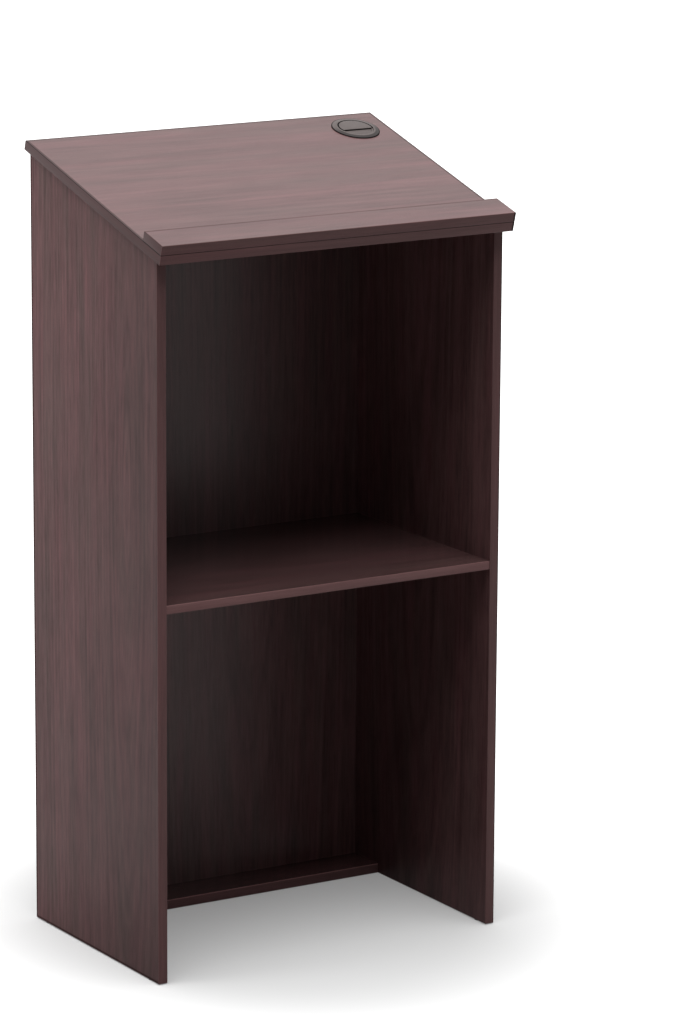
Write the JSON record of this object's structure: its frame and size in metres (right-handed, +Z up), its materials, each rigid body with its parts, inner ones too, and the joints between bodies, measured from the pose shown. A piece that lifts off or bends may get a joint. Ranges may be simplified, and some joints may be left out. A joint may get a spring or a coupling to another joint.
{
  "type": "lectern",
  "caption": "Free-standing lectern: a sloping desk with a stop rail and a cable grommet on flat side panels, with an open shelf, a foot board and a thin back panel.",
  "frame": {"origin": "centre of the lectern's own box at floor level", "axes": "+X to the standing user's right, +Y from the user to the audience, +Z up"},
  "size_m": [0.6, 0.4138, 1.2018],
  "materials": {
    "wood_board": "satin dark wood-grain melamine",
    "back_board": "satin dark wood-grain melamine on thin board",
    "wood_edging": "satin dark wood-grain plastic",
    "steel": "zinc-plated",
    "zinc": "dull die-cast zinc",
    "beech": "bare wood",
    "cover_disc": "satin, dark",
    "glide_plastic": "matt black",
    "grommet_plastic": "satin grey-brown moulded plastic"
  },
  "bodies": {
    "lectern": {"left_side_panel": "wood_board", "right_side_panel": "wood_board", "desk_top": "wood_board", "stop_rail": "wood_board", "shelf": "wood_board", "foot_board": "wood_board", "back_panel": "back_board", "left_side_front_edging": "wood_edging", "left_side_bottom_edging": "wood_edging", "right_side_front_edging": "wood_edging", "right_side_bottom_edging": "wood_edging", "desk_front_edging": "wood_edging", "desk_rear_edging": "wood_edging", "desk_left_edging": "wood_edging", "desk_right_edging": "wood_edging", "rail_front_edging": "wood_edging", "rail_rear_edging": "wood_edging", "rail_left_edging": "wood_edging", "rail_right_edging": "wood_edging", "shelf_front_edging": "wood_edging", "foot_board_front_edging": "wood_edging", "shelf_cam_bolts": "steel", "foot_board_cam_bolts": "steel", "desk_cam_bolts": "steel", "rail_screws": "steel", "back_panel_nails": "steel", "shelf_cam_locks": "zinc", "foot_board_cam_locks": "zinc", "desk_cam_locks": "zinc", "shelf_dowels": "beech", "foot_board_dowels": "beech", "desk_dowels": "beech", "cam_covers": "cover_disc", "floor_glides": "glide_plastic", "grommet_ring": "grommet_plastic"},
    "lid": {"grommet_lid": "grommet_plastic"},
    "shutter": {"grommet_shutter": "grommet_plastic"}
  },
  "joints": [
    {"name": "lid_lift", "type": "slide", "parent": "lectern", "child": "lid", "axis": [0, -0.2672, 0.9636], "range_m": [0, 0.025]},
    {"name": "shutter_turn", "type": "hinge", "parent": "lid", "child": "shutter", "pos_m": [0.2405, 0.14908, 1.18703], "axis": [0, -0.2672, 0.9636], "continuous": true}
  ]
}
